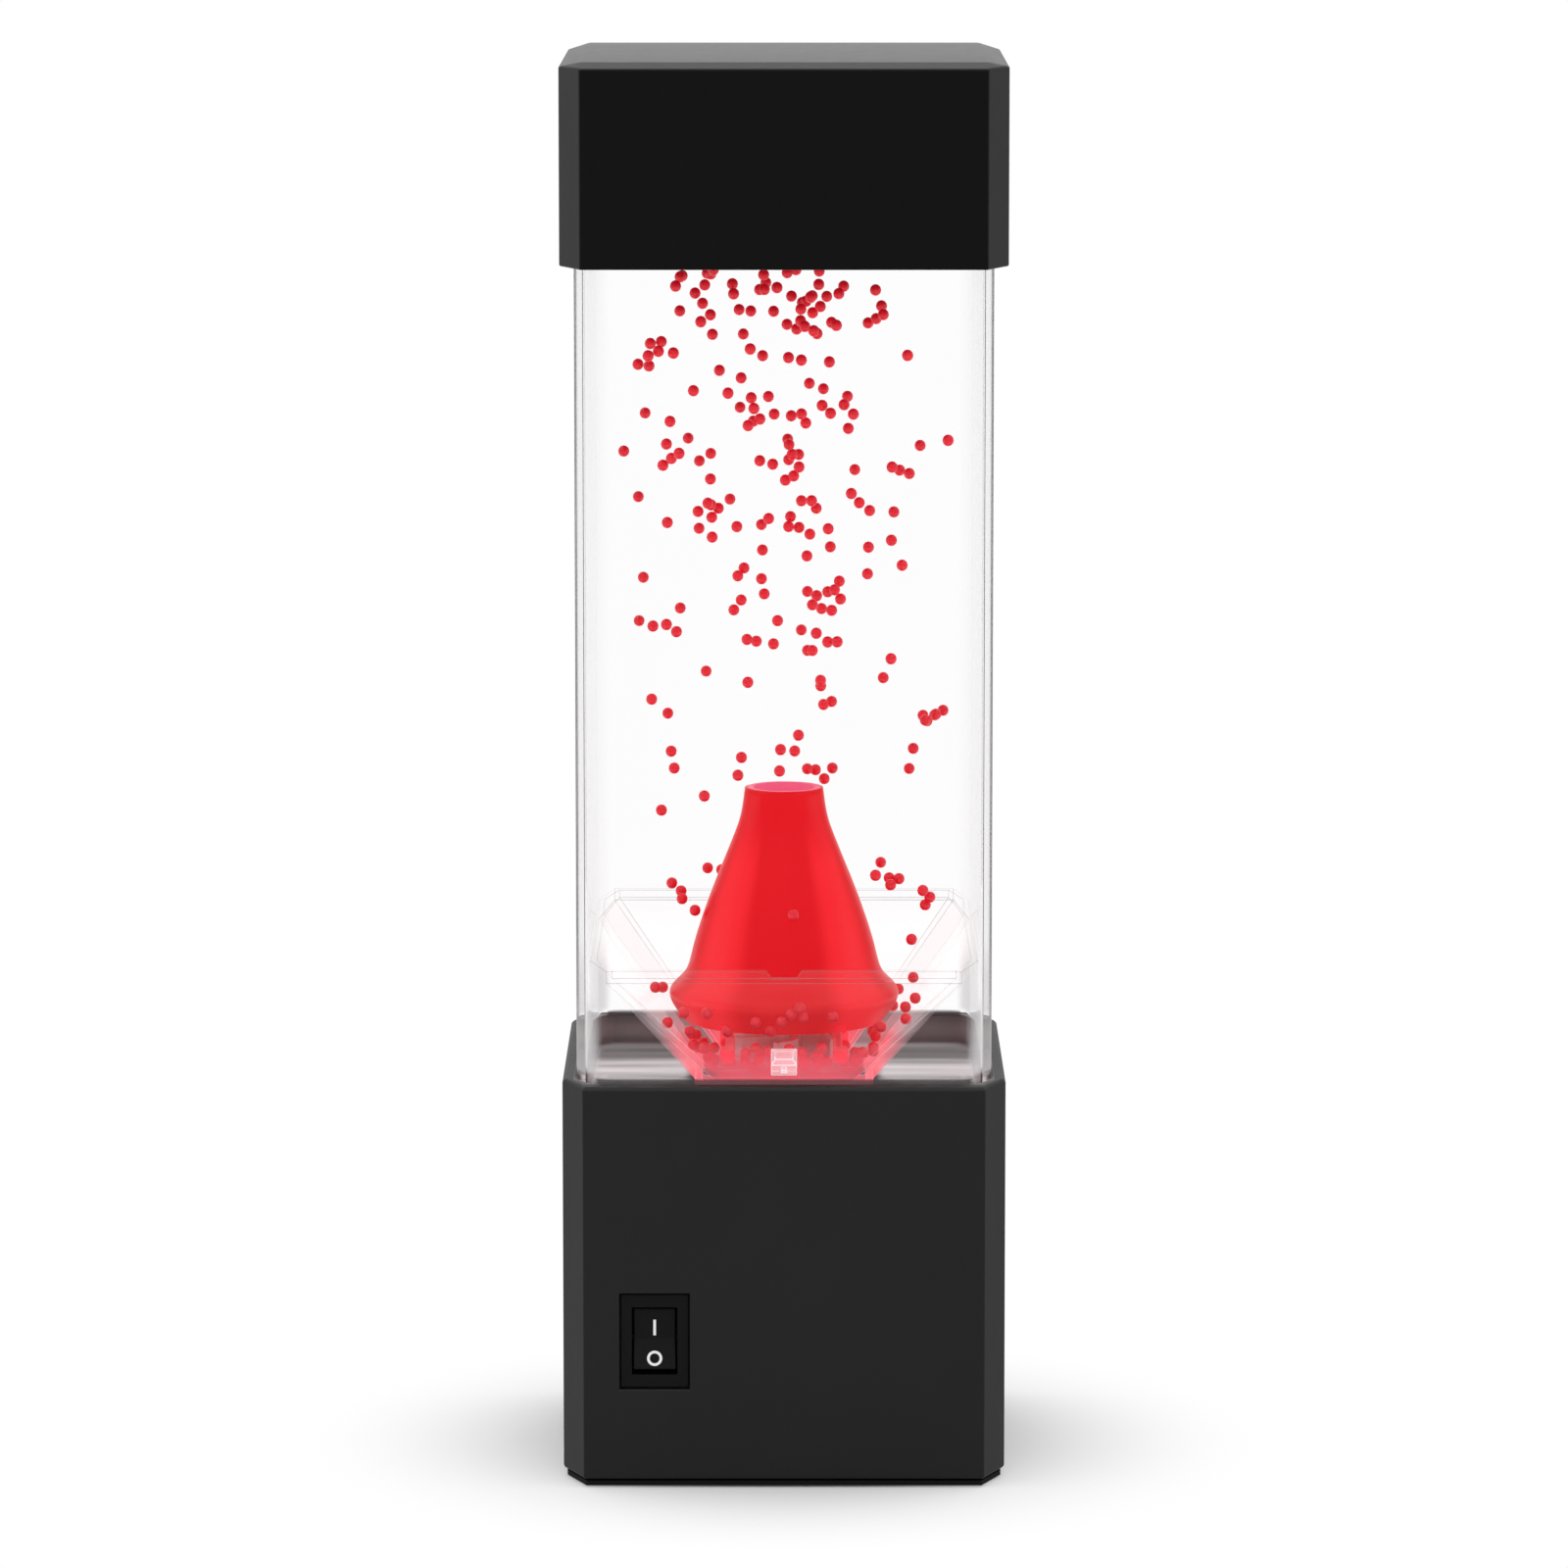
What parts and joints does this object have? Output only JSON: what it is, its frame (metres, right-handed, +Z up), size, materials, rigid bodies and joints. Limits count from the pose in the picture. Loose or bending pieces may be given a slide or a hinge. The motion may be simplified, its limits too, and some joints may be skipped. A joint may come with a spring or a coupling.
{
  "type": "volcano bead lamp",
  "caption": "Square desk lamp with a black base and cap, a clear water tank, a clear funnel and a red volcano that blows red beads up through the water.",
  "frame": {"origin": "on the surface that the lamp stands on, under the middle of its outline", "axes": "+Z up; -Y out of the front, where the switch is; +X to the right, seen from the front"},
  "size_m": [0.07, 0.07, 0.2245],
  "materials": {
    "black_plastic": "satin black moulding",
    "switch_plastic": "fine matte black",
    "clear_plastic": "clear polished acrylic",
    "red_plastic": "translucent red",
    "bead_plastic": "gloss red",
    "rubber": "matte",
    "silicone": "translucent grey",
    "white_plastic": "natural white moulding",
    "steel": "bright plated",
    "magnet": "dark sintered",
    "brass": "bright",
    "cell_wrap": "plain wrap",
    "board": "green solder mask",
    "led_lens": "diffuse lens",
    "lead_wrap": "insulation"
  },
  "bodies": {
    "lamp_body": {"base_housing": "black_plastic", "bottom_plate": "black_plastic", "switch_frame": "switch_plastic", "inlet_tongue": "switch_plastic", "tank": "clear_plastic", "funnel": "clear_plastic", "volcano": "red_plastic", "bead_1": "bead_plastic", "bead_2": "bead_plastic", "bead_3": "bead_plastic", "bead_4": "bead_plastic", "bead_5": "bead_plastic", "bead_6": "bead_plastic", "bead_7": "bead_plastic", "bead_8": "bead_plastic", "bead_9": "bead_plastic", "foot_1": "rubber", "foot_2": "rubber", "foot_3": "rubber", "foot_4": "rubber", "motor_tray": "white_plastic", "bottom_screw_1": "steel", "bottom_screw_2": "steel", "bottom_screw_3": "steel", "bottom_screw_4": "steel", "contact_spring_1": "steel", "contact_spring_2": "steel", "contact_spring_3": "steel", "contact_plate_1": "steel", "contact_plate_2": "steel", "contact_plate_3": "steel", "inlet_shell": "steel", "tray_screw_1": "steel", "tray_screw_2": "steel", "motor_can": "steel", "impeller_pin": "steel", "switch_terminal_1": "brass", "switch_terminal_2": "brass", "battery_1": "cell_wrap", "battery_2": "cell_wrap", "battery_3": "cell_wrap", "led_board": "board", "led_1": "led_lens", "led_2": "led_lens", "led_3": "led_lens", "led_4": "led_lens", "supply_lead": "lead_wrap", "motor_lead": "lead_wrap"},
    "switch_button": {"switch_rocker": "switch_plastic"},
    "cap": {"cap_shell": "black_plastic", "cap_plug": "black_plastic", "cap_seal": "silicone"},
    "door": {"battery_door": "black_plastic"},
    "drive": {"motor_shaft": "steel", "drive_disc": "white_plastic", "drive_magnet_1": "magnet", "drive_magnet_2": "magnet"},
    "pump": {"impeller": "white_plastic", "impeller_magnet": "magnet"}
  },
  "joints": [
    {"name": "switch_tilt", "type": "hinge", "parent": "lamp_body", "child": "switch_button", "pos_m": [-0.0204, -0.0318, 0.0236], "axis": [1, 0, 0], "range_deg": [0, 14]},
    {"name": "cap_lift", "type": "slide", "parent": "lamp_body", "child": "cap", "axis": [0, 0, 1], "range_m": [0, 0.045]},
    {"name": "door_slide", "type": "slide", "parent": "lamp_body", "child": "door", "axis": [0, 1, 0], "range_m": [0, 0.042]},
    {"name": "drive_spin", "type": "hinge", "parent": "lamp_body", "child": "drive", "pos_m": [0, 0, 0.0531], "axis": [0, 0, 1], "continuous": true},
    {"name": "pump_spin", "type": "hinge", "parent": "lamp_body", "child": "pump", "pos_m": [0, 0, 0.0606], "axis": [0, 0, 1], "continuous": true}
  ],
  "couplings": [
    {"joint": "drive_spin", "follows": "pump_spin", "ratio": 1}
  ]
}
